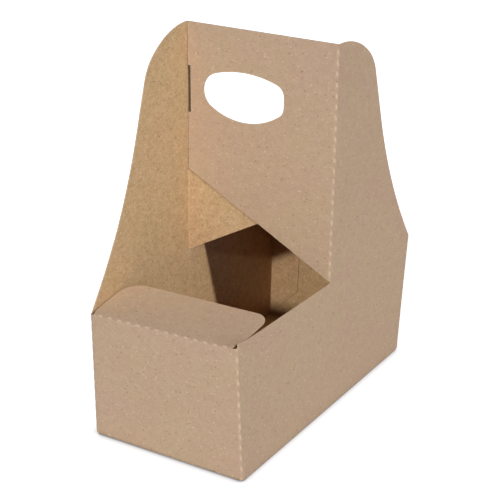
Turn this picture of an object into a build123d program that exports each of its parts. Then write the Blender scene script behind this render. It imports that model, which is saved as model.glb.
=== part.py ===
from build123d import *
import math
import os

os.makedirs("parts", exist_ok=True)

# A cup carrier folded from one die-cut sheet of kraft board.
# X runs across the carrier, Y along it and Z up. The origin is the middle of the underside.
# Sizes are in millimetres, outside the board unless they say otherwise.

# The board and its creases
board = 0.6
fold_inner = 0.5
fold_outer = fold_inner + board
relief = 0.3

# The upright corners, the end flaps and the handle plies fold along cut creases. The die cuts
# a row of dashes from the outside, and each opens into a notch as the board is folded.
dash_pitch = 6.35
dash_length = 3.2
notch_width = 0.5
notch_depth = 0.45

# The tray: two long side walls and two end walls
length = 203.0
width = 97.5
end_height = 78.5
side_height = 80.2

# The retaining flap on each end wall, hinged along its top and folded inwards
flap_depth = 37.0
flap_radius = 9.0
flap_lift = 8.0
side_clearance = 1.2

# The die cuts a small notch at each end of a flap's hinge, out of the flap and the wall
hinge_notch = 2.0
hinge_drop = 2.2

# The lobe that carries each handle fold. Its outline goes from the end wall up to the handle:
# a hollow sweep, a round shoulder and a flat crown. Distances are from the handle fold.
handle_top = 224.5
sweep_reach = 67.0
sweep_rise = 48.4
sweep_radius = 305.0
shoulder_step = 21.6
shoulder_drop = 17.6
shoulder_radius = 27.0
crown_reach = 20.5
crown_radius = 51.0

# The two plies of the handle panel. The slit under the front ply ends blunt at its handle fold.
slit_height = 2.0
ply_edge_height = 134.5
ply_gap = 0.8

# The hand hole in the front ply and the window behind it in the rear ply
hole_length = 52.0
hole_height = 30.0
hole_drop = 40.6
hole_margin = 12.3
hole_top_radius = 62.0
hole_bottom_radius = 39.0
hole_end_radius = 7.0
window_margin = 2.0

# The slot in the front ply's free edge, the taller one in the rear ply and its fold behind,
# and the stub of the left wall that stands in the rear one
slot_height = 28.7
slot_depth = 1.4
rear_slot_height = 32.4
stub_reach = 9.0

# The glue tab, which joins the left wall to the rear wall inside
tab_width = 21.0
tab_foot = 2.4
tab_slope = 45.0
joint_setback = 0.4

# The bottom flaps, folded under in three layers
dust_flap_depth = 45.0
bottom_setback = 0.5
bottom_corner = 4.0

# Levels and edges that follow from the sizes above
half_length = length / 2
half_width = width / 2
corner_x = half_width - fold_outer
corner_y = half_length - fold_outer
end_top = end_height - fold_outer
ply_foot = side_height + slit_height
left_bottom = fold_outer
right_bottom = board + fold_outer
end_bottom = 2 * board + fold_outer
flap_half_width = half_width - board - side_clearance
hinge_half_width = flap_half_width - hinge_notch
corner_top = end_top - hinge_drop
hole_x = -half_width + hole_margin + hole_length / 2
hole_z = handle_top - hole_drop


def add_fold(centre, start, axis, run, angle=90.0):
    """The round of one crease: a curved strip of board about its centre line."""
    with BuildSketch(Plane(origin=centre, x_dir=start, z_dir=axis)) as section:
        with BuildLine():
            outer = CenterArc((0, 0), fold_outer, 0, angle)
            inner = CenterArc((0, 0), fold_inner, 0, angle)
            Line(outer @ 0, inner @ 0)
            Line(outer @ 1, inner @ 1)
        make_face()
    extrude(section.sketch, amount=run)


def cut_dashes(centre, start, axis, run, angle=90.0):
    """The notches of a cut crease, in a row along the outside of a fold that add_fold made."""
    count = int(run / dash_pitch)
    first = (run - (count - 1) * dash_pitch - dash_length) / 2
    middle = Vector(start).rotate(Axis((0, 0, 0), axis), angle / 2)
    crease = Plane(origin=centre, x_dir=middle, z_dir=axis)
    planes = [crease.offset(first + i * dash_pitch) for i in range(count)]
    with BuildSketch(*planes) as notches:
        with BuildLine():
            Polyline(
                (fold_outer - notch_depth, 0),
                (fold_outer, notch_width / 2),
                (fold_outer + relief, notch_width / 2),
                (fold_outer + relief, -notch_width / 2),
                (fold_outer, -notch_width / 2),
                close=True,
            )
        make_face()
    extrude(notches.sketch, amount=dash_length, mode=Mode.SUBTRACT)


def add_cut_fold(centre, start, axis, run, angle=90.0):
    """The round of a cut crease, with its notches."""
    add_fold(centre, start, axis, run, angle)
    cut_dashes(centre, start, axis, run, angle)


def add_side_wall(side, bottom, low_end, low_top):
    """A side wall with its lobe over one half. side is -1 for the left wall, 1 for the right."""
    face = Plane(origin=(side * half_width, 0, 0), x_dir=(0, -side, 0), z_dir=(-side, 0, 0))
    lobe_end = -corner_y
    with BuildSketch(face) as wall:
        with BuildLine():
            lobe = FilletPolyline(
                (lobe_end, end_top),
                (-sweep_reach, end_top + sweep_rise),
                (-crown_reach - shoulder_step, handle_top - shoulder_drop),
                (-crown_reach, handle_top),
                (-fold_inner, handle_top),
                radius=(sweep_radius, shoulder_radius, crown_radius),
            )
            Polyline(
                lobe @ 1,
                (-fold_inner, low_top),
                (low_end, low_top),
                (low_end, bottom),
                (lobe_end, bottom),
                lobe @ 0,
            )
        make_face()
    extrude(wall.sketch, amount=board)


def end_wall_corners(left):
    """The corners of an end wall from its left edge, with a notch at each end of the hinge."""
    return [
        (left, end_bottom),
        (corner_x, end_bottom),
        (corner_x, corner_top),
        (hinge_half_width, end_top),
        (-hinge_half_width, end_top),
        (left, corner_top),
    ]


def add_end_flap(end):
    """A retaining flap and its crease. end is -1 for the front wall, 1 for the rear."""
    centre = Vector(0, end * corner_y, end_top)
    lift = math.radians(flap_lift)
    upward = Vector(0, end * math.sin(lift), math.cos(lift))
    across = Vector(-end, 0, 0)
    crease_start = centre + across * hinge_half_width
    add_cut_fold(crease_start, (0, end, 0), -across, 2 * hinge_half_width, 90 - flap_lift)
    with BuildSketch(Plane(origin=centre + upward * fold_outer, x_dir=across, z_dir=upward)) as flap:
        Rectangle(2 * flap_half_width, flap_depth, align=(Align.CENTER, Align.MIN))
        fillet(flap.vertices().group_by(Axis.Y)[-1], flap_radius)
        chamfer(flap.vertices().group_by(Axis.Y)[0], hinge_notch)
    extrude(flap.sketch, amount=-board)


def add_ply(side):
    """One ply of the handle and the crease that hinges it on a lobe, on the same side."""
    add_cut_fold(
        (side * (half_width - fold_outer), side * fold_inner, ply_foot),
        (0, -side, 0),
        (0, 0, 1),
        handle_top - ply_foot,
    )
    free_edge = width - board - ply_gap
    glued_face = Plane(origin=(side * half_width, 0, 0), x_dir=(-side, 0, 0), z_dir=(0, side, 0))
    with BuildSketch(glued_face) as ply:
        with BuildLine():
            Polyline(
                (fold_outer, ply_foot),
                (free_edge, ply_edge_height),
                (free_edge, handle_top),
                (fold_outer, handle_top),
                close=True,
            )
        make_face()
    extrude(ply.sketch, amount=-board)


def hand_hole(margin=0.0):
    """The outline of the hand hole, let out by a margin: a flat top, a rounder bottom."""
    with BuildSketch() as hole:
        Rectangle(hole_length, hole_height)
        with Locations((0, hole_height / 2 - hole_top_radius)):
            Circle(hole_top_radius, mode=Mode.INTERSECT)
        with Locations((0, hole_bottom_radius - hole_height / 2)):
            Circle(hole_bottom_radius, mode=Mode.INTERSECT)
        fillet(hole.vertices(), hole_end_radius)
        if margin > 0:
            offset(amount=margin)
    return hole.sketch


with BuildPart() as cup_carrier:
    # Side walls and end walls. The left wall's low half stands closer under its ply.
    add_side_wall(-1, left_bottom, corner_y - board, ply_foot - relief)
    add_side_wall(1, right_bottom, corner_y, side_height)
    with BuildSketch(Plane.XZ.offset(half_length)) as front_wall:
        with BuildLine():
            Polyline(*end_wall_corners(-corner_x), close=True)
        make_face()
    extrude(front_wall.sketch, amount=-board)
    with BuildSketch(Plane.XZ.offset(-half_length)) as rear_wall:
        with BuildLine():
            Polyline(*end_wall_corners(joint_setback - corner_x), close=True)
        make_face()
    extrude(rear_wall.sketch, amount=board)

    # The three folded corners of the tray
    for x, y, start in ((-1, -1, (-1, 0, 0)), (1, -1, (0, -1, 0)), (1, 1, (1, 0, 0))):
        add_cut_fold((x * corner_x, y * corner_y, end_bottom), start, (0, 0, 1), corner_top - end_bottom)

    # The glue tab inside the fourth corner
    tab_corner_y = corner_y - board
    add_fold((-corner_x, tab_corner_y, tab_foot), (0, 1, 0), (0, 0, 1), end_top - 2 * tab_foot)
    tab_run = tab_width - fold_outer
    tab_rise = tab_run * math.tan(math.radians(tab_slope))
    with BuildSketch(Plane.XZ.offset(-half_length + board)) as glue_tab:
        with BuildLine():
            Polyline(
                (-corner_x, tab_foot),
                (-corner_x + tab_run, tab_foot + tab_rise),
                (-corner_x + tab_run, end_top - tab_foot - tab_rise),
                (-corner_x, end_top - tab_foot),
                close=True,
            )
        make_face()
    extrude(glue_tab.sketch, amount=board)

    # The retaining flaps and the handle
    for side in (-1, 1):
        add_end_flap(side)
        add_ply(side)

    # Underside, outermost layer first: the left wall's flap, the right wall's, the two dust flaps
    side_flap_length = length - 2 * (fold_outer + bottom_setback)
    side_flap_reach = width - fold_outer - board - side_clearance
    add_fold(
        (-corner_x, side_flap_length / 2, left_bottom), (-1, 0, 0), (0, -1, 0), side_flap_length
    )
    with BuildSketch(Plane.XY) as outer_flap:
        with Locations((-corner_x, 0)):
            Rectangle(side_flap_reach, side_flap_length, align=(Align.MIN, Align.CENTER))
        chamfer(outer_flap.vertices().group_by(Axis.X)[-1], bottom_corner)
    extrude(outer_flap.sketch, amount=board)

    add_fold(
        (corner_x, side_flap_length / 2, right_bottom), (0, 0, -1), (0, -1, 0), side_flap_length
    )
    with BuildSketch(Plane.XY.offset(board)) as inner_flap:
        with Locations((corner_x, 0)):
            Rectangle(side_flap_reach, side_flap_length, align=(Align.MAX, Align.CENTER))
        chamfer(inner_flap.vertices().group_by(Axis.X)[0], bottom_corner)
    extrude(inner_flap.sketch, amount=board)

    for end in (-1, 1):
        start = (0, -1, 0) if end < 0 else (0, 0, -1)
        add_fold((-flap_half_width, end * corner_y, end_bottom), start, (1, 0, 0), 2 * flap_half_width)
        with BuildSketch(Plane.XY.offset(2 * board)) as dust_flap:
            with Locations((0, end * corner_y)):
                Rectangle(
                    2 * flap_half_width,
                    dust_flap_depth,
                    align=(Align.CENTER, Align.MIN if end < 0 else Align.MAX),
                )
            chamfer(dust_flap.vertices().group_by(Axis.Y)[-1 if end < 0 else 0], bottom_corner)
        extrude(dust_flap.sketch, amount=board)

    # The hand hole in the front ply, with the slot in the ply's free edge
    with BuildSketch(Plane.XZ) as front_cut:
        with Locations((hole_x, hole_z)):
            add(hand_hole())
        with Locations((-half_width + board, hole_z)):
            Rectangle(ply_gap + slot_depth, slot_height, align=(Align.MIN, Align.CENTER))
    extrude(front_cut.sketch, amount=board, mode=Mode.SUBTRACT)

    # The window in the rear ply runs out to the left handle fold
    with BuildSketch(Plane.XZ) as rear_cut:
        with Locations((hole_x, hole_z)):
            add(hand_hole(window_margin))
        with Locations((-half_width, hole_z)):
            Rectangle(
                hole_margin + hole_length / 2, rear_slot_height, align=(Align.MIN, Align.CENTER)
            )
    extrude(rear_cut.sketch, amount=-board, mode=Mode.SUBTRACT)
    with BuildSketch(Plane.XZ) as fold_cut:
        with Locations((-half_width, hole_z)):
            Rectangle(fold_outer, rear_slot_height, align=(Align.MIN, Align.CENTER))
    extrude(fold_cut.sketch, amount=fold_inner, mode=Mode.SUBTRACT)

    # The stub of the left wall that stays in line with the wall behind the slots
    with BuildSketch(Plane.YZ.offset(-half_width)) as stub:
        with Locations((-fold_inner, hole_z)):
            Rectangle(
                fold_inner + stub_reach, rear_slot_height - 2 * relief, align=(Align.MIN, Align.CENTER)
            )
        fillet(stub.vertices().group_by(Axis.X)[-1], stub_reach / 3)
    extrude(stub.sketch, amount=board)

cup_carrier.part.label = "cup_carrier"
export_step(cup_carrier.part, "parts/cup_carrier.step")
print("solids", len(cup_carrier.part.solids()), "volume", round(cup_carrier.part.volume, 1))
print("box", cup_carrier.part.bounding_box())
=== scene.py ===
import math

import bpy
import numpy as np
from mathutils import Matrix, Vector, noise
from mathutils.geometry import delaunay_2d_cdt


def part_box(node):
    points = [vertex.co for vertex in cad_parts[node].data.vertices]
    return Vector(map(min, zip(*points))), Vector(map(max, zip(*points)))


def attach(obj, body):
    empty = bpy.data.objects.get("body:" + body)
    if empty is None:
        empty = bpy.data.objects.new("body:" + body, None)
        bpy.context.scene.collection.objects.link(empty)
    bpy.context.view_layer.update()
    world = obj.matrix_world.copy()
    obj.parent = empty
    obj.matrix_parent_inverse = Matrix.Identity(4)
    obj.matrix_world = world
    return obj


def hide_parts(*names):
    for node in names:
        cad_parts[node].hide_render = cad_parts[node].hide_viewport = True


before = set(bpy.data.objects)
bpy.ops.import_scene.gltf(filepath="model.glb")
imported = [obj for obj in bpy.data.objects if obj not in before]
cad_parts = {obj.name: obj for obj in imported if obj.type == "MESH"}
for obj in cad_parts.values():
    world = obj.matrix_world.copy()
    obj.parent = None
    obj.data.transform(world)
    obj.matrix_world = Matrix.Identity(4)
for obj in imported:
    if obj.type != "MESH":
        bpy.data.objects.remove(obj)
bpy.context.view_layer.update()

# A cup carrier folded from one sheet of kraft board, made here as it is made in life:
# a flat blank is outlined, divided into a mesh, folded round its creases, given its
# thickness and then let sag a little out of true.
# Lengths are in millimetres until the mesh is written in metres.
MM = 0.001

low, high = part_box("cup_carrier")
width, length, handle_top = (high - low) / MM

# The board and its creases
board = 0.6
bend_inner = 0.5
bend_outer = bend_inner + board
layer_gap = 0.02
quarter = bend_outer * math.pi / 2
half_width = width / 2
half_length = length / 2
corner_x = half_width - bend_outer
corner_y = half_length - bend_outer
end_wall_height = 78.5
end_top = end_wall_height - bend_outer
side_height = 80.2

# The retaining flaps on the end walls. At each end of a hinge a small notch: how far out the
# hinge reaches, and over what length the flap widens from there.
flap_angle = math.radians(82)
flap_reach = 37.0
flap_right_radius, flap_left_radius = 9.0, 13.0
flap_clearance = 0.8
flap_half_width = half_width - board - flap_clearance
hinge_right, right_taper = 45.7, 6.0
hinge_left, left_taper = 46.4, 2.4

# The tops of the upright corners, and the worn step from the front right one up to the right
# wall: how far it leans, how high its foot is and where it lands behind the front wall's end.
corner_top = end_top + 0.5
step_lean = 0.3
step_foot = end_top + 1.0
step_landing = 0.6

# The lobes and the two plies of the handle
fold_gap = bend_inner - layer_gap
sweep_reach, sweep_rise, sweep_radius = 67.0, 48.4, 305.0
shoulder_step, shoulder_drop, shoulder_radius = 21.6, 17.6, 27.0
crown_reach, crown_radius = 20.5, 51.0
ply_foot = side_height + 2.0
left_low_top = ply_foot - 0.3
ply_edge_height = 134.5
ply_clearance = 0.4
ply_run = width - board - ply_clearance - bend_outer

# The hand hole, the window behind it, the slot at the fold and the stub behind the slot
hole_half_length, hole_half_height = 26.0, 15.0
hole_top_radius, hole_bottom_radius = 62.0, 39.0
hole_left_end, hole_right_end = (26.6, 11.0), (26.0, 7.0)
hole_margin = 12.3
hole_drop = 40.6
hole_level = handle_top - hole_drop
window_margin = 2.0
slot_half_height = 14.35
slot_depth = 1.7
rear_slot_half_height = 16.2
stub_half_height = rear_slot_half_height - 0.3
stub_reach = 9.0
stub_radius = 3.0

# The glue tab, with sloping ends and a small nib at its foot, and the bottom flaps
tab_run = 19.9
tab_slope = 45.0
tab_rise = tab_run * math.tan(math.radians(tab_slope))
tab_foot = 2.4
nib_outer, nib_inner = 0.9, 0.7
corner_foot = 1.25
tab_y = corner_y - board - 2 * layer_gap
layer = board + layer_gap
left_bottom = bend_outer
right_bottom = left_bottom + layer
end_bottom = right_bottom + layer
bottom_clearance = 1.2
side_flap_reach = width - bend_outer - board - bottom_clearance
side_flap_half = half_length - bend_outer - bottom_clearance
dust_flap_reach = 45.0
bottom_chamfer = 4.0
rear_setback = 0.4

# Along the blank, which stands as it is drawn: a station is a distance along its outer face
# from the left wall's rear edge, and a level is a height. The sheet rolls round four upright
# corners, and these are the stations where each wall starts and ends.
left_start, left_end = 0.0, tab_y + corner_y
front_start = left_end + quarter
front_end = front_start + 2 * corner_x
right_start = front_end + quarter
right_end = right_start + 2 * corner_y
rear_start = right_end + quarter
rear_end = rear_start + 2 * corner_x - rear_setback
tab_start = -quarter - tab_run
left_middle = tab_y
right_middle = right_start + corner_y
left_fold = left_middle + fold_gap
right_fold = right_middle + fold_gap

stations = (tab_start, -quarter, left_start, left_end, front_start, front_end,
            right_start, right_end, rear_start, rear_end)
centres_x = (tab_run - corner_x, -corner_x, -corner_x, -corner_x, -corner_x, corner_x,
             corner_x, corner_x, corner_x, rear_setback - corner_x)
centres_y = (tab_y, tab_y, tab_y, -corner_y, -corner_y, -corner_y,
             -corner_y, corner_y, corner_y, corner_y)
facings = (90, 90, 180, 180, 270, 270, 360, 360, 450, 450)


# The blank's outline, as loops of stations and levels. Two points are one below same_point.

same_point = 1e-6


def arc(centre, radius, start, end, step=1.5):
    """Points along an arc, with its angles in degrees."""
    count = max(3, math.ceil(abs(math.radians(end - start)) * radius / step) + 1)
    turn = np.radians(np.linspace(start, end, count))
    return [(centre[0] + radius * math.cos(t), centre[1] + radius * math.sin(t)) for t in turn]


def rounded(corners, radii):
    """A line through corners, with each inner corner rounded to its own radius."""
    line = [corners[0]]
    for before, corner, after, radius in zip(corners, corners[1:], corners[2:], radii):
        corner = Vector(corner)
        entry = (Vector(before) - corner).normalized()
        leave = (Vector(after) - corner).normalized()
        half = entry.angle(leave) / 2
        centre = corner + (entry + leave).normalized() * radius / math.sin(half)
        first = corner + entry * radius / math.tan(half) - centre
        last = corner + leave * radius / math.tan(half) - centre
        start = math.degrees(math.atan2(first.y, first.x))
        sweep = (math.degrees(math.atan2(last.y, last.x)) - start + 180) % 360 - 180
        line += arc(centre, radius, start, start + sweep)
    return line + [corners[-1]]


def hole_end(reach, radius):
    """The round of one end of the hand hole: its distance, its two centres and their leans."""
    end_x = reach - radius
    top = hole_half_height - hole_top_radius
    bottom = hole_bottom_radius - hole_half_height
    upper = top + math.sqrt((hole_top_radius - radius) ** 2 - end_x ** 2)
    lower = bottom - math.sqrt((hole_bottom_radius - radius) ** 2 - end_x ** 2)
    lean_up = math.degrees(math.atan2(upper - top, end_x))
    lean_down = math.degrees(math.atan2(bottom - lower, end_x))
    return end_x, radius, (upper, lean_up), (lower, lean_down)


def hand_hole(margin):
    """The hand hole about its own middle, let out by a margin, from its left end clockwise."""
    left_x, left_radius, (left_high, left_up), (left_low, left_down) = hole_end(*hole_left_end)
    right_x, right_radius, (right_high, right_up), (right_low, right_down) = hole_end(
        *hole_right_end
    )
    top = hole_half_height - hole_top_radius
    bottom = hole_bottom_radius - hole_half_height
    return (
        arc((-left_x, left_high), left_radius + margin, 180, 180 - left_up)
        + arc((0, top), hole_top_radius + margin, 180 - left_up, right_up)[1:]
        + arc((right_x, right_high), right_radius + margin, right_up, 0)[1:]
        + arc((right_x, right_low), right_radius + margin, 0, -right_down)
        + arc((0, bottom), hole_bottom_radius + margin, -right_down, left_down - 180)[1:]
        + arc((-left_x, left_low), left_radius + margin, left_down - 180, -180)[1:]
    )


def bottom_flap(first, last, level, reach):
    """The edge of a bottom flap, from left to right."""
    foot = level - quarter - reach
    inner = foot + bottom_chamfer
    return [(first, level), (first, inner), (first + bottom_chamfer, foot),
            (last - bottom_chamfer, foot), (last, inner), (last, level)]


def top_flap(middle):
    """The edge of a retaining flap, from right to left."""
    hinge = end_top + bend_outer * flap_angle
    tip = hinge + flap_reach
    corners = [
        (flap_half_width, hinge + right_taper), (flap_half_width, tip),
        (-flap_half_width, tip), (-flap_half_width, hinge + left_taper),
    ]
    edge = [(hinge_right, end_top), (hinge_right, hinge)]
    edge += rounded(corners, (flap_right_radius, flap_left_radius))
    edge += [(-hinge_left, hinge), (-hinge_left, end_top)]
    return [(middle + x, z) for x, z in edge]


def lobe_and_ply(wall_end, middle, fold, low_top, slotted):
    """The top edge of a side wall with its lobe and its ply, from right to left."""
    lobe = rounded(
        [
            (wall_end, end_top),
            (middle + sweep_reach, end_top + sweep_rise),
            (middle + crown_reach + shoulder_step, handle_top - shoulder_drop),
            (middle + crown_reach, handle_top),
            (fold, handle_top),
        ],
        (sweep_radius, shoulder_radius, crown_radius),
    )
    free = fold - quarter - ply_run
    notch = [
        (free, hole_level + slot_half_height),
        (free + slot_depth, hole_level + slot_half_height),
        (free + slot_depth, hole_level - slot_half_height),
        (free, hole_level - slot_half_height),
    ]
    return (
        lobe
        + [(fold - quarter, handle_top), (free, handle_top)]
        + (notch if slotted else [])
        + [(free, ply_edge_height), (fold - quarter, ply_foot), (fold, ply_foot), (fold, low_top)]
    )


def blank_outline():
    """The closed outer edge of the blank, counter-clockwise."""
    front_middle = front_start + corner_x
    rear_middle = rear_start + corner_x
    lower = (
        [(tab_start, tab_foot + tab_rise), (-quarter - nib_outer, tab_foot + nib_outer)]
        + [(-quarter - nib_inner, corner_foot), (left_start, corner_foot)]
        + [(left_start, left_bottom)]
        + bottom_flap(left_middle - side_flap_half, left_middle + side_flap_half,
                      left_bottom, side_flap_reach)
        + [(left_end, left_bottom), (left_end, end_bottom), (front_start, end_bottom)]
        + bottom_flap(front_middle - flap_half_width, front_middle + flap_half_width,
                      end_bottom, dust_flap_reach)
        + [(front_end, end_bottom), (right_start, end_bottom), (right_start, right_bottom)]
        + bottom_flap(right_middle - side_flap_half, right_middle + side_flap_half,
                      right_bottom, side_flap_reach)
        + [(right_end, right_bottom), (right_end, end_bottom), (rear_start, end_bottom)]
        + bottom_flap(rear_middle - flap_half_width, rear_middle + flap_half_width,
                      end_bottom, dust_flap_reach)
        + [(rear_end, end_bottom)]
    )
    upper = (
        [(rear_end, corner_top)] + top_flap(rear_middle)
        + [(rear_start, corner_top), (right_end, corner_top)]
        + lobe_and_ply(right_end, right_middle, right_fold, side_height, True)
        + [(right_start + step_lean, side_height), (right_start, step_foot)]
        + [(front_end + step_landing, corner_top), (front_end, corner_top)]
        + top_flap(front_middle) + [(front_start, corner_top), (left_end, corner_top)]
        + lobe_and_ply(left_end, left_middle, left_fold, left_low_top, False)
        + [(left_start, left_low_top), (left_start, end_top - tab_foot)]
        + [(-quarter, end_top - tab_foot), (tab_start, end_top - tab_foot - tab_rise)]
    )
    return lower + upper


def blank_holes():
    """The hand hole in the front ply, and the window in the rear ply round its stub."""
    hand_station = right_fold - quarter - (width - hole_margin - hole_half_length - bend_outer)
    hand = [(hand_station + x, hole_level + z) for x, z in hand_hole(0)]

    window_station = left_fold - quarter - (hole_margin + hole_half_length - bend_outer)
    ring = [(-x, z) for x, z in hand_hole(window_margin)]
    open_ring = [(x, z) for x, z in ring if x < 0 or abs(z) > rear_slot_half_height]
    reach = [
        math.sqrt(
            (radius + window_margin) ** 2
            - (rear_slot_half_height - hole_half_height + radius) ** 2
        )
        for radius in (hole_top_radius, hole_bottom_radius)
    ]
    slot_top = hole_level + rear_slot_half_height
    slot_bottom = hole_level - rear_slot_half_height
    window = (
        [(left_fold, slot_top), (window_station + reach[0], slot_top)]
        + [(window_station + x, hole_level + z) for x, z in open_ring]
        + [(window_station + reach[1], slot_bottom), (left_fold, slot_bottom)]
    )
    tip = left_fold - fold_gap - stub_reach
    stub = rounded(
        [
            (left_fold, hole_level - stub_half_height),
            (tip, hole_level - stub_half_height),
            (tip, hole_level + stub_half_height),
            (left_fold, hole_level + stub_half_height),
        ],
        (stub_radius, stub_radius),
    )
    return [hand, window + stub]


def subdivided(loop, step):
    """A closed loop with points added until none is further than step from the next."""
    points = []
    for (x, z), (next_x, next_z) in zip(loop, loop[1:] + loop[:1]):
        run, rise = next_x - x, next_z - z
        gap = math.hypot(run, rise)
        if gap < same_point:
            continue
        parts = math.ceil(gap / step)
        points += [(x + run * i / parts, z + rise * i / parts) for i in range(parts)]
    return np.array(points)


# The creases, each a band of the blank: where it starts across, how wide it is, the stretch
# it runs along, whether it stands upright in the blank and whether the die cut it in dashes.

dash_pitch = 6.35
dash_length = 3.2
dash_half_width = 0.75
dash_tilt = 0.14
dash_core, dash_fade = 1.5, 1.6
crease_reach = 2.0
creases = [
    (left_end, quarter, end_bottom, corner_top, True, True),
    (front_end, quarter, end_bottom, corner_top, True, True),
    (right_end, quarter, end_bottom, corner_top, True, True),
    (-quarter, quarter, corner_foot, end_top - tab_foot, True, False),
    (right_fold - quarter, quarter, ply_foot, handle_top, True, True),
    (left_fold - quarter, quarter, ply_foot, hole_level - rear_slot_half_height, True, True),
    (left_fold - quarter, quarter, hole_level + rear_slot_half_height, handle_top, True, True),
    (left_bottom - quarter, quarter, left_middle - side_flap_half, left_middle + side_flap_half,
     False, False),
    (right_bottom - quarter, quarter, right_middle - side_flap_half, right_middle + side_flap_half,
     False, False),
]
for wall_start in (front_start, rear_start):
    wall_middle = wall_start + corner_x
    hinge_ends = (wall_middle - hinge_left, wall_middle + hinge_right)
    flap_ends = (wall_middle - flap_half_width, wall_middle + flap_half_width)
    creases.append((end_top, bend_outer * flap_angle, *hinge_ends, False, True))
    creases.append((end_bottom - quarter, quarter, *flap_ends, False, False))


# The mesh's lines along a crease: at shares of its width, and beside it, each with its step
lines_within = (0, 0.15, 0.32, 0.5, 0.68, 0.85, 1)
step_within = 2.5
steps_in_pitch = 8
lines_beside = ((1.0, 1.6), (2.6, 2.6))


def crease_points():
    """Points in lines along each crease, close together, with wider lines beside it."""
    points = []
    for start, band, first, last, is_upright, dashed in creases:
        fine = dash_pitch / steps_in_pitch if dashed else step_within
        lines = [(share * band, fine) for share in lines_within]
        for aside, step in lines_beside:
            lines += [(-aside, step), (band + aside, step)]
        for across, step in lines:
            count = max(2, round((last - first) / step) + 1)
            along = np.linspace(first, last, count)
            line = np.full(count, start + across)
            points.append(np.column_stack((line, along) if is_upright else (along, line)))
    return np.vstack(points)


def crease_shade(flat):
    """How near each point is to a crease, how far into its roll and how deep in one of its
    dashes, from 0 to 1."""
    near = np.zeros(len(flat))
    rolled = np.zeros(len(flat))
    cut = np.zeros(len(flat))
    for start, band, first, last, is_upright, dashed in creases:
        across, along = flat.T if is_upright else flat.T[::-1]
        aside = across - start - band / 2
        beyond = np.maximum(np.maximum(first - along, along - last), 0)
        outside = np.maximum(np.abs(aside) - band / 2, 0)
        near = np.maximum(near, 1 - np.hypot(outside, beyond) / crease_reach)
        rolled = np.maximum(rolled, (1 - 2 * np.abs(aside) / band) * (beyond == 0))
        if dashed:
            spare = (last - first) % dash_pitch
            into = (along - first - (spare + dash_pitch - dash_length) / 2) % dash_pitch
            dash = np.clip(dash_fade * np.minimum(into, dash_length - into), 0, 1)
            skewed = np.abs(aside + dash_tilt * (into - dash_length / 2))
            side = np.clip(dash_core - dash_fade * skewed / dash_half_width, 0, 1)
            cut = np.maximum(cut, dash * side * (beyond == 0))
    return np.clip(near, 0, 1), rolled, cut


# Folding. The slacks give the points on the border between two parts to the right one.

fold_slack, slot_slack, stub_slack = 0.15, 0.1, 2.0


def bend(point, normal, ahead, reach, angle):
    """Rolls points that lie reach beyond a crease's start round it, by an angle in radians."""
    turn = np.clip(reach / bend_outer, 0, angle)[:, None]
    beyond = np.maximum(reach - bend_outer * angle, 0)[:, None]
    new_normal = np.cos(turn) * normal + np.sin(turn) * ahead
    new_ahead = np.cos(turn) * ahead - np.sin(turn) * normal
    return point + bend_outer * (new_normal - normal) + beyond * new_ahead, new_normal


def upright(flat):
    """The blank rolled round its four upright corners: points, normals and the way along."""
    station, level = flat.T
    turn = np.radians(np.interp(station, stations, facings))
    flat_zero = np.zeros(len(flat))
    normal = np.column_stack((np.cos(turn), np.sin(turn), flat_zero))
    along = np.column_stack((-np.sin(turn), np.cos(turn), flat_zero))
    centre = np.column_stack(
        (np.interp(station, stations, centres_x), np.interp(station, stations, centres_y), level)
    )
    return centre + bend_outer * normal, normal, along


def fold(flat):
    """Where each point of the blank's outer face goes, and the face's normal there."""
    station, level = flat.T
    point, normal, along = upright(flat)
    up = np.array((0.0, 0.0, 1.0))
    on_left = (station >= left_start) & (station <= left_end)
    on_right = (station >= right_start) & (station <= right_end)
    on_end = ~on_left & ~on_right & (station > left_end)

    for wall, bottom in ((on_left, left_bottom), (on_right, right_bottom), (on_end, end_bottom)):
        hit = wall & (level < bottom)
        start = point[hit] * (1, 1, 0) + bottom * up
        point[hit], normal[hit] = bend(
            start, normal[hit], -up[None], bottom - level[hit], math.pi / 2
        )

    hit = on_end & (level > end_top)
    start = point[hit] * (1, 1, 0) + end_top * up
    point[hit], normal[hit] = bend(start, normal[hit], up[None], level[hit] - end_top, flap_angle)

    in_slot = np.abs(level - hole_level) < rear_slot_half_height - slot_slack
    on_stub = on_left & in_slot & (left_fold - station < stub_reach + stub_slack)
    for wall, crease in ((on_left & ~on_stub, left_fold), (on_right, right_fold)):
        hit = wall & (level > ply_foot - fold_slack) & (station < crease)
        start, face, way = upright(np.column_stack((np.full(hit.sum(), crease), level[hit])))
        point[hit], normal[hit] = bend(start, face, -way, crease - station[hit], math.pi / 2)
    return point, normal


# Where the photographed carrier has drifted out of true, as shifts at the corners of three
# levels: the base, the tops of the walls and the top of the handle.

drift_levels = (0.0, 80.0, handle_top)
drifts = {
    (-1, -1): ((0.2, 3.2, 0.0), (0.1, -0.1, -0.4), (0.2, 0.0, -0.8)),
    (1, -1): ((3.7, -0.4, 0.0), (-0.8, -0.2, 1.1), (-0.7, -0.1, 0.4)),
    (1, 1): ((-2.1, -2.4, 0.0), (0.9, 0.8, 1.1), (3.2, 0.6, 0.1)),
    (-1, 1): ((-0.3, -0.2, 0.0), (0.3, 0.5, 1.2), (-2.0, -0.9, -0.7)),
}

# The slight waves across and along: their size, their length, the height by which they have
# grown to that size, and where each is read in Blender's plain noise, which is the same in
# every run. These places leave the fitted corners within about 0.1 mm of where they were.
wave_size = 0.35
wave_length = 70.0
wave_foot = 20.0
wave_origins = (Vector((19.8, 5.8, 9.8)), Vector((15.7, 10.7, 11.8)))

# The corner of the rim that stands up a little: how high, and how far round it
lifted_corner = (half_width, -half_length, 80.0)
lift_height, lift_reach = 1.2, 10.0

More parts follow.
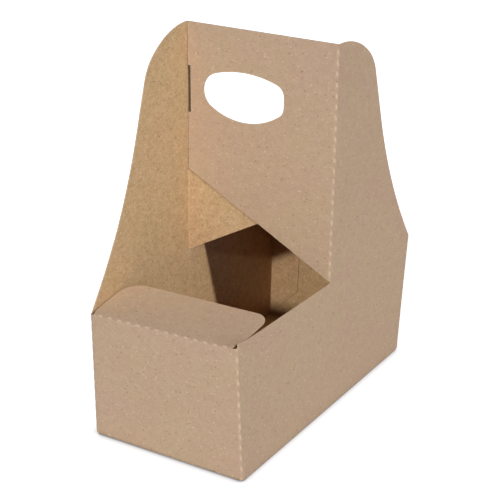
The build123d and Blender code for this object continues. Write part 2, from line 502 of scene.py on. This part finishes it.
# The folds under the end walls and the right wall press to the floor: heights before and
# after, how deep inside the walls this starts and over what run it comes to the full.
press_before, press_after = (0, 1.3, 6.0), (0, 0.6, 6.0)
press_depth, press_run = 5.5, 5.0


def settle(point):
    """Lets the sheet drift out of true: a corner of its rim lifts, the folds underneath press
    to the floor and its walls wave slightly."""
    x, y, z = point.T
    moved = point.copy()
    for (side, end), shifts in drifts.items():
        share = (1 + side * x / half_width) / 2 * (1 + end * y / half_length) / 2
        for axis in range(3):
            levels = [shift[axis] for shift in shifts]
            moved[:, axis] += share * np.interp(z, drift_levels, levels)
    from_corner = np.linalg.norm(point - lifted_corner, axis=1)
    moved[:, 2] += lift_height * np.exp(-((from_corner / lift_reach) ** 2))
    within = np.maximum(np.abs(y) - half_length, x - half_width) + press_depth
    lowered = np.interp(z, press_before, press_after) - np.clip(z, 0, press_before[-1])
    moved[:, 2] += np.clip(within / press_run, 0, 1) * lowered
    for i, place in enumerate(point):
        grown = wave_size * min(1, place[2] / wave_foot)
        for axis, origin in enumerate(wave_origins):
            moved[i, axis] += grown * noise.noise(Vector(place) / wave_length + origin)
    return moved


# Dividing the blank into a mesh: the steps along its cuts, the lattice between them, the room
# that the lattice leaves beside the cuts and creases, and the rings of points beside each cut.

outer_step, hole_step = 2.5, 1.5
cut_room, crease_room, crease_end_room = 2.2, 3.8, 2.0
ring_depth, ring_room = 1.1, 0.95
line_room = 0.18
merge_distance = 1e-4
least_area = 1e-7


def edges_of(loops):
    """Both ends of every edge of the loops."""
    return (np.vstack(loops), np.vstack([np.roll(loop, -1, axis=0) for loop in loops]))


def in_parts(measure, points, loops):
    """Runs a measure of points against the loops' edges, a thousand points at a time."""
    start, end = edges_of(loops)
    return np.concatenate(
        [measure(points[i:i + 1000, None], start, end) for i in range(0, len(points), 1000)]
    )


def crossings(point, start, end):
    """Whether each point is inside: an odd number of edges lie to its right."""
    spans = (start[:, 1] > point[..., 1]) != (end[:, 1] > point[..., 1])
    rise = np.where(end[:, 1] == start[:, 1], 1, end[:, 1] - start[:, 1])
    cross = start[:, 0] + (point[..., 1] - start[:, 1]) * (end[:, 0] - start[:, 0]) / rise
    return (spans & (point[..., 0] < cross)).sum(1) % 2 == 1


def nearest(point, start, end):
    """Distance from each point to the nearest edge."""
    run = end - start
    share = ((point - start) * run).sum(-1) / (run ** 2).sum(-1)
    return np.linalg.norm(point - start - np.clip(share, 0, 1)[..., None] * run, axis=-1).min(1)


def inset(loop, depth):
    """Points beside a loop, a depth to the left of its direction."""
    ahead = np.roll(loop, -1, axis=0) - np.roll(loop, 1, axis=0)
    ahead /= np.linalg.norm(ahead, axis=1)[:, None]
    return loop + depth * np.column_stack((-ahead[:, 1], ahead[:, 0]))


def inner_points(loops):
    """Points between the cuts: an even lattice, rings beside the cuts, lines on the creases."""
    cell = 4.0
    outer = loops[0]
    columns = np.arange(outer[:, 0].min(), outer[:, 0].max(), cell)
    rows = np.arange(outer[:, 1].min(), outer[:, 1].max(), cell * math.sqrt(3) / 2)
    lattice = np.array([(x + cell / 2 * (r % 2), z) for r, z in enumerate(rows) for x in columns])
    lattice = lattice[in_parts(nearest, lattice, loops) > cut_room]
    clear = crease_shade(lattice)[0] == 0
    for start, band, first, last, is_upright, _ in creases:
        across, along = lattice.T if is_upright else lattice.T[::-1]
        beside = np.abs(across - start - band / 2) < band / 2 + crease_room
        clear &= ~(beside & (along > first - crease_end_room) & (along < last + crease_end_room))
    lattice = lattice[clear]

    ring = np.vstack([inset(loop, side * ring_depth) for loop in loops for side in (-1, 1)])
    from_cut = in_parts(nearest, ring, loops)
    ring = ring[(from_cut > ring_room) & (crease_shade(ring)[0] == 0)]

    lines = crease_points()
    from_cut = in_parts(nearest, lines, loops)
    lines = lines[(from_cut < same_point) | (from_cut > line_room)]

    points = np.vstack((lattice, ring, lines))
    on_cut = in_parts(nearest, points, loops) < same_point
    return points[on_cut | in_parts(crossings, points, loops)]


def divide_blank():
    """The blank as points, triangles and each point's distance from a cut edge."""
    loops = [subdivided(blank_outline(), outer_step)]
    loops += [subdivided(hole, hole_step) for hole in blank_holes()]
    edges = []
    for loop in loops:
        start = len(edges)
        edges += [(start + i, start + (i + 1) % len(loop)) for i in range(len(loop))]
    every = [Vector(p) for p in np.vstack(loops + [inner_points(loops)])]
    verts, _, faces, _, _, _ = delaunay_2d_cdt(every, edges, [], 0, merge_distance)
    flat = np.array([tuple(v) for v in verts])
    triangles = np.array([face for face in faces if len(face) == 3])
    middle = flat[triangles].mean(axis=1)
    triangles = triangles[in_parts(crossings, middle, loops)]

    corner = flat[triangles[:, 0]]
    first, second = flat[triangles[:, 1]] - corner, flat[triangles[:, 2]] - corner
    area = first[:, 0] * second[:, 1] - first[:, 1] * second[:, 0]
    triangles = triangles[np.abs(area) > least_area]
    area = area[np.abs(area) > least_area]
    triangles[area < 0] = triangles[area < 0][:, ::-1]
    used, triangles = np.unique(triangles, return_inverse=True)
    flat = flat[used]
    return flat, triangles.reshape(-1, 3), in_parts(nearest, flat, loops)


# The board's thickness: the relief of its dashes and creases, the bulge of its cut edge, the
# short way inward that shows how that edge faces, and how far wear reaches in from it.

grain_size = 1.7
dash_depth, dash_grain, crease_grain = 0.16, 0.06, 0.02
edge_bulge, bulge_grain = 0.04, 0.03
edge_probe = 0.1
worn_width = 3.0
tiny = 1e-9


def rim_of(triangles):
    """The edges that belong to one triangle only: those along the cuts."""
    sides = np.vstack((triangles[:, [0, 1]], triangles[:, [1, 2]], triangles[:, [2, 0]]))
    edges = dict.fromkeys((a, b) for a, b in sides)
    return [(a, b) for a, b in edges if (b, a) not in edges]


def way_out(flat, rim, ends):
    """The direction out of the blank at the points where the rim's edges meet."""
    outward = np.zeros(flat.shape)
    for a, b in rim:
        way = flat[b] - flat[a]
        away = np.array((way[1], -way[0])) / (np.linalg.norm(way) + tiny)
        outward[a] += away
        outward[b] += away
    return outward[ends] / (np.linalg.norm(outward[ends], axis=1)[:, None] + tiny)


def thickened(flat, near, cut, rim, ends):
    """The points of the folded board: outer face, inner face and the middle of its cut edge."""
    outer, normal = fold(flat)
    inner = outer - board * normal
    grain = np.array([noise.noise(Vector((s / grain_size, z / grain_size, 3.0))) for s, z in flat])
    relief = cut * (dash_grain * grain - dash_depth) + near * crease_grain * grain
    outer += normal * relief[:, None]

    within, _ = fold(flat[ends] - edge_probe * way_out(flat, rim, ends))
    away = outer[ends] - within
    away /= np.linalg.norm(away, axis=1)[:, None] + tiny
    bulge = edge_bulge + bulge_grain * grain[ends]
    middle = (outer[ends] + inner[ends]) / 2 + away * bulge[:, None]

    points = settle(np.vstack((outer, inner, middle)))
    points[:, 2] -= points[:, 2].min()
    return points


def build_board(materials):
    """The folded board as one closed mesh: outer face, inner face and the cut edge between."""
    flat, triangles, edge_distance = divide_blank()
    near, rolled, cut = crease_shade(flat)
    rim = rim_of(triangles)
    ends = np.array(sorted({a for a, _ in rim}))
    points = thickened(flat, near, cut, rim, ends)

    count = len(flat)
    middle_of = {v: 2 * count + i for i, v in enumerate(ends)}
    faces = [tuple(t) for t in triangles] + [tuple(t[::-1] + count) for t in triangles]
    for a, b in rim:
        faces.append((b, a, middle_of[a], middle_of[b]))
        faces.append((middle_of[b], middle_of[a], a + count, b + count))
    slots = np.repeat((0, 1, 2), (len(triangles), len(triangles), 2 * len(rim)))

    mesh = bpy.data.meshes.new("carrier_board")
    mesh.from_pydata((points * MM).tolist(), [], faces)
    for material in materials:
        mesh.materials.append(material)
    mesh.polygons.foreach_set("material_index", slots)
    mesh.polygons.foreach_set("use_smooth", np.ones(len(faces), bool))
    corners = [edge for a, b in rim for edge in ((a, b), (a + count, b + count))]
    sharp = {tuple(sorted(edge)) for edge in corners}
    flags = [tuple(sorted(edge.vertices)) in sharp for edge in mesh.edges]
    mesh.edges.foreach_set("use_edge_sharp", flags)

    def spread(values):
        """A value of each of the blank's points, for all the points made from them."""
        return np.concatenate((values, values, values[ends]))

    depth = np.repeat((0, board, board / 2), (count, count, len(ends)))
    sheet = np.column_stack((spread(flat), depth)) * MM
    attribute = mesh.attributes.new("sheet", "FLOAT_VECTOR", "POINT")
    attribute.data.foreach_set("vector", sheet.ravel())
    shades = {"edge": np.clip(edge_distance / worn_width, 0, 1), "crease": rolled, "cut": cut}
    for name, values in shades.items():
        attribute = mesh.attributes.new(name, "FLOAT", "POINT")
        attribute.data.foreach_set("value", spread(values))
    mesh.update()
    mesh.validate()
    piece = bpy.data.objects.new("carrier_board", mesh)
    bpy.context.collection.objects.link(piece)
    return piece


# Materials. They read the blank's own coordinates and its shades: how near a cut edge, how far
# into a crease's roll and how deep in a dash a point lies.

def linear(red, green, blue):
    """A display colour from 0 to 255 as a linear colour."""
    return tuple(
        c / 12.92 if c <= 0.04045 else ((c + 0.055) / 1.055) ** 2.4
        for c in (red / 255, green / 255, blue / 255)
    ) + (1.0,)


class Nodes:
    """A new material with short ways to add nodes to it. A value is a number, a colour or
    another node's output."""

    def __init__(self, name):
        self.material = bpy.data.materials.new(name)
        self.material.use_nodes = True
        self.tree = self.material.node_tree
        self.shader = self.tree.nodes["Principled BSDF"]

    def add(self, kind, **settings):
        node = self.tree.nodes.new(kind)
        for name, value in settings.items():
            setattr(node, name, value)
        return node

    def put(self, value, socket):
        if isinstance(value, bpy.types.NodeSocket):
            self.tree.links.new(value, socket)
        else:
            socket.default_value = value

    def attribute(self, name, output="Fac"):
        return self.add("ShaderNodeAttribute", attribute_name=name).outputs[output]

    def stretch(self, vector, angle, scale):
        node = self.add("ShaderNodeMapping")
        self.put(vector, node.inputs["Vector"])
        node.inputs["Rotation"].default_value = (0, 0, math.radians(angle))
        node.inputs["Scale"].default_value = scale
        return node.outputs["Vector"]

    def noise(self, vector, scale, detail=2.0, roughness=0.5, distortion=0.0):
        node = self.add("ShaderNodeTexNoise")
        self.put(vector, node.inputs["Vector"])
        for name, value in (("Scale", scale), ("Detail", detail), ("Roughness", roughness),
                            ("Distortion", distortion)):
            node.inputs[name].default_value = value
        return node.outputs["Fac"]

    def math(self, kind, first, second=0.0, third=0.0):
        node = self.add("ShaderNodeMath", operation=kind)
        for value, socket in zip((first, second, third), node.inputs):
            self.put(value, socket)
        return node.outputs[0]

    def ramp(self, value, start, end, low=0.0, high=1.0):
        node = self.add("ShaderNodeMapRange", clamp=True)
        for item, name in ((value, "Value"), (start, "From Min"), (end, "From Max"),
                           (low, "To Min"), (high, "To Max")):
            self.put(item, node.inputs[name])
        return node.outputs[0]

    def mix(self, factor, first, second, blend="MIX"):
        node = self.add("ShaderNodeMix", data_type="RGBA", blend_type=blend)
        self.put(factor, node.inputs["Factor"])
        self.put(first, node.inputs[6])
        self.put(second, node.inputs[7])
        return node.outputs[2]

    def bump(self, height, distance, strength):
        node = self.add("ShaderNodeBump")
        node.inputs["Strength"].default_value = strength
        node.inputs["Distance"].default_value = distance
        self.put(height, node.inputs["Height"])
        return node.outputs["Normal"]

    def finish(self, colour, roughness, normal):
        self.put(colour, self.shader.inputs["Base Color"])
        self.put(roughness, self.shader.inputs["Roughness"])
        self.put(normal, self.shader.inputs["Normal"])
        self.shader.inputs["Specular IOR Level"].default_value = 0.2
        return self.material


def strands(nodes, sheet, angles, scale, aspect, threshold):
    """Fibres lying at several angles, slightly bent, as one mask."""
    mask = 0.0
    for angle in angles:
        along = nodes.stretch(sheet, angle, (1.0, aspect, 1.0))
        line = nodes.noise(along, scale, 1.0, 0.5, 0.8)
        mask = nodes.math("MAXIMUM", nodes.ramp(line, threshold, threshold + 0.1), mask)
    return mask


def flecks(nodes, sheet):
    """Small spots of other fibre, as two masks: the few dark ones and the few light ones."""
    cells = nodes.add("ShaderNodeTexVoronoi", feature="F1")
    nodes.put(nodes.stretch(sheet, 24, (1.0, 1.7, 1.0)), cells.inputs["Vector"])
    cells.inputs["Scale"].default_value = 420.0
    spot = nodes.ramp(cells.outputs["Distance"], 0.34, 0.16)
    pick = nodes.add("ShaderNodeSeparateColor")
    nodes.put(cells.outputs["Color"], pick.inputs[0])
    chance, other_chance = pick.outputs[0], pick.outputs[1]
    return (
        nodes.math("MULTIPLY", spot, nodes.ramp(chance, 0.86, 0.9, 0.0, 0.7)),
        nodes.math("MULTIPLY", spot, nodes.ramp(other_chance, 0.84, 0.88, 0.0, 0.75)),
    )


def kraft_face(name, base, warm, cool, dark, light, fibre_size, contrast, inside):
    """One face of the board: clouds of warmer and cooler tone, strands of fibre and flecks."""
    nodes = Nodes(name)
    sheet = nodes.attribute("sheet", "Vector")
    wide = nodes.noise(sheet, 14.0, 1.0, 0.4)
    clouds = nodes.noise(sheet, 60.0, 2.0, 0.5)
    patches = nodes.noise(sheet, 0.25 / fibre_size, 2.0, 0.6, 0.6)
    specks = nodes.noise(sheet, 0.8 / fibre_size, 1.0, 0.5)
    grit = nodes.noise(sheet, 1500.0, 2.0, 0.6)
    pale = strands(nodes, sheet, (8, 67, 128), 0.55 / fibre_size, 5.0, 0.56)
    deep = strands(nodes, sheet, (38, 101, 155), 0.6 / fibre_size, 5.0, 0.58)
    dark_spot, light_spot = flecks(nodes, sheet)

    colour = nodes.mix(nodes.ramp(wide, 0.38, 0.62), warm, cool)
    colour = nodes.mix(0.35, colour, base)
    for mask, start, end, share, tone in (
        (clouds, 0.45, 0.65, 0.5, warm),
        (clouds, 0.55, 0.38, 0.5, cool),
        (patches, 0.46, 0.64, 0.22 * contrast, light),
        (patches, 0.5, 0.34, 0.18 * contrast, dark),
        (pale, 0.0, 1.0, 0.34 * contrast, light),
        (deep, 0.0, 1.0, 0.26 * contrast, dark),
        (specks, 0.6, 0.72, 0.6 * contrast, light),
        (specks, 0.4, 0.28, 0.5 * contrast, dark),
        (grit, 0.4, 0.7, 0.14, light),
        (grit, 0.5, 0.25, 0.12, dark),
        (dark_spot, 0.0, 1.0, 1.0, dark),
        (light_spot, 0.0, 1.0, 1.0, light),
    ):
        colour = nodes.mix(nodes.ramp(mask, start, end, 0.0, share), colour, tone)

    # Painted shade in the creases: the colour darkens toward the middle of each crease's roll,
    # half as much on the inner face.
    painted_crease_shade = nodes.math("MULTIPLY", nodes.attribute("crease"), 0.5 if inside else 1.0)
    colour = nodes.mix(painted_crease_shade, colour, painted_crease_tone, "MULTIPLY")
    worn = nodes.ramp(nodes.attribute("edge"), 0.2, 0.0, 0.0, 0.22)
    colour = nodes.mix(worn, colour, light)
    frayed = nodes.math("MULTIPLY", nodes.attribute("cut"), nodes.ramp(grit, 0.2, 0.6, 0.7, 1.0))
    frayed = nodes.math("MULTIPLY", frayed, 0.25 if inside else 0.95)
    colour = nodes.mix(frayed, colour, frayed_tone)
    # Painted shade deep in the tray: the inner face's colour darkens where ambient occlusion finds
    # it hemmed in by the walls.
    if inside:
        open_air = nodes.add("ShaderNodeAmbientOcclusion", samples=8)
        open_air.inputs["Distance"].default_value = 0.12
        painted_hollow_shade = nodes.ramp(open_air.outputs["AO"], 0.6, 0.2)
        colour = nodes.mix(painted_hollow_shade, colour, painted_hollow_tone, "MULTIPLY")

    height = nodes.math("MULTIPLY_ADD", pale, 0.5, grit)
    height = nodes.math("MULTIPLY_ADD", patches, 0.8, height)
    normal = nodes.bump(height, 0.00014, 0.6)
    return nodes.finish(colour, nodes.ramp(grit, 0.3, 0.7, 0.78, 0.92), normal)


def cut_edge():
    """The edge of the board where the die went through: paler, in layers."""
    nodes = Nodes("board_cut_edge")
    sheet = nodes.attribute("sheet", "Vector")
    layers = nodes.noise(nodes.stretch(sheet, 0, (1.0, 1.0, 12.0)), 700.0, 3.0, 0.6)
    fuzz = nodes.noise(sheet, 2500.0, 2.0, 0.6)
    tone = nodes.ramp(layers, 0.35, 0.65)
    colour = nodes.mix(tone, linear(176, 146, 112), linear(214, 188, 154))
    normal = nodes.bump(nodes.math("ADD", layers, fuzz), 0.0001, 0.6)
    return nodes.finish(colour, 0.9, normal)


# Tones: the painted shade of the creases, the paler fibre bared by the dashes, and the painted
# shade deep inside the tray.
painted_crease_tone = (0.78, 0.78, 0.78, 1)
frayed_tone = linear(210, 182, 154)
painted_hollow_tone = (0.84, 0.76, 0.72, 1)
materials = [
    kraft_face(
        "kraft_outside", base=linear(193, 163, 132), warm=linear(192, 160, 133),
        cool=linear(192, 165, 131), dark=linear(150, 120, 94), light=linear(222, 198, 168),
        fibre_size=0.0011, contrast=0.4, inside=False,
    ),
    kraft_face(
        "kraft_inside", base=linear(203, 170, 127), warm=linear(205, 167, 124),
        cool=linear(197, 167, 119), dark=linear(146, 110, 70), light=linear(228, 202, 160),
        fibre_size=0.0012, contrast=0.75, inside=True,
    ),
    cut_edge(),
]
carrier = build_board(materials)
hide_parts("cup_carrier")
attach(carrier, "root")


# Floor, light and camera

def build_floor():
    """A pale floor that reads as white, apart from the shadow where the carrier stands."""
    reach, level = 4.0, -0.00005
    mesh = bpy.data.meshes.new("floor")
    corners = [(-reach, -reach), (reach, -reach), (reach, reach), (-reach, reach)]
    mesh.from_pydata([(x, y, level) for x, y in corners], [], [(0, 1, 2, 3)])
    floor = bpy.data.objects.new("floor", mesh)
    bpy.context.collection.objects.link(floor)

    nodes = Nodes("pale_floor")
    nodes.tree.nodes.remove(nodes.shader)
    rays = nodes.add("ShaderNodeLightPath").outputs
    seen = nodes.math("MAXIMUM", rays["Is Camera Ray"], rays["Is Glossy Ray"])
    seen = nodes.math("MAXIMUM", seen, rays["Is Transmission Ray"])
    # Painted shadow at the carrier's foot: ambient occlusion darkens both the floor's matte colour
    # and its glow, beside the real shadow the lamps cast.
    painted_contact_shadow = nodes.add("ShaderNodeAmbientOcclusion", samples=8)
    painted_contact_shadow.inputs["Distance"].default_value = 0.0085
    painted_contact_shadow.inputs["Color"].default_value = (0.65, 0.65, 0.65, 1)
    matte = nodes.add("ShaderNodeBsdfDiffuse")
    nodes.put(painted_contact_shadow.outputs["Color"], matte.inputs["Color"])
    glow = nodes.add("ShaderNodeEmission")
    unshaded = nodes.ramp(painted_contact_shadow.outputs["AO"], 0.0, 1.0, 0.25, 0.82)
    nodes.put(nodes.math("MULTIPLY", seen, unshaded), glow.inputs["Strength"])
    both = nodes.add("ShaderNodeAddShader")
    nodes.put(matte.outputs[0], both.inputs[0])
    nodes.put(glow.outputs[0], both.inputs[1])
    nodes.put(both.outputs[0], nodes.tree.nodes["Material Output"].inputs["Surface"])
    mesh.materials.append(nodes.material)
    return floor


def build_world(level):
    """A dim bluish surround, which the camera sees at full strength."""
    world = bpy.data.worlds.new("studio")
    bpy.context.scene.world = world
    world.use_nodes = True
    tree = world.node_tree
    background = tree.nodes["Background"]
    rays = tree.nodes.new("ShaderNodeLightPath")
    sight = tree.nodes.new("ShaderNodeMapRange")
    sight.inputs["To Min"].default_value = level
    sight.inputs["To Max"].default_value = 1.0
    tree.links.new(rays.outputs["Is Camera Ray"], sight.inputs["Value"])
    background.inputs["Color"].default_value = (0.65, 0.88, 2.5, 1)
    tree.links.new(sight.outputs[0], background.inputs["Strength"])


def add_sun(name, toward, level, spread, colour=(1.0, 1.0, 1.0)):
    """A distant lamp in the direction toward. Level 1 shows a colour as it is written."""
    lamp = bpy.data.lights.new(name, "SUN")
    lamp.energy = level * math.pi
    lamp.angle = math.radians(spread)
    lamp.color = colour
    sun = bpy.data.objects.new(name, lamp)
    sun.rotation_euler = Vector(toward).to_track_quat("Z", "Y").to_euler()
    bpy.context.collection.objects.link(sun)


def build_camera():
    """The camera as fitted to the photograph."""
    place = Vector((492.274, -836.383, 485.927)) * MM
    azimuth, elevation, roll = math.radians(30.747), math.radians(22.089), math.radians(0.79)
    turn = (
        Matrix.Rotation(azimuth, 4, "Z")
        @ Matrix.Rotation(math.pi / 2 - elevation, 4, "X")
        @ Matrix.Rotation(roll, 4, "Z")
    )
    data = bpy.data.cameras.new("camera")
    data.sensor_width = 36.0
    data.lens = 127.832
    data.clip_end = 20.0
    camera = bpy.data.objects.new("camera", data)
    camera.matrix_world = Matrix.Translation(place) @ turn
    bpy.context.collection.objects.link(camera)
    bpy.context.scene.camera = camera


build_floor()
build_world(0.06)
add_sun("key", (0.819, -0.295, 0.492), 0.655, 2.5)
add_sun("front_fill", (0.05, -0.909, 0.413), 0.54, 3.5)
add_sun("top_fill", (0.05, -0.2, 0.98), 0.075, 20.0, (1.0, 0.93, 0.45))
add_sun("back_fill", (-0.64, 0.75, 0.15), 0.28, 10.0, (0.92, 0.96, 1.1))
build_camera()
bpy.context.scene.view_settings.view_transform = "Standard"
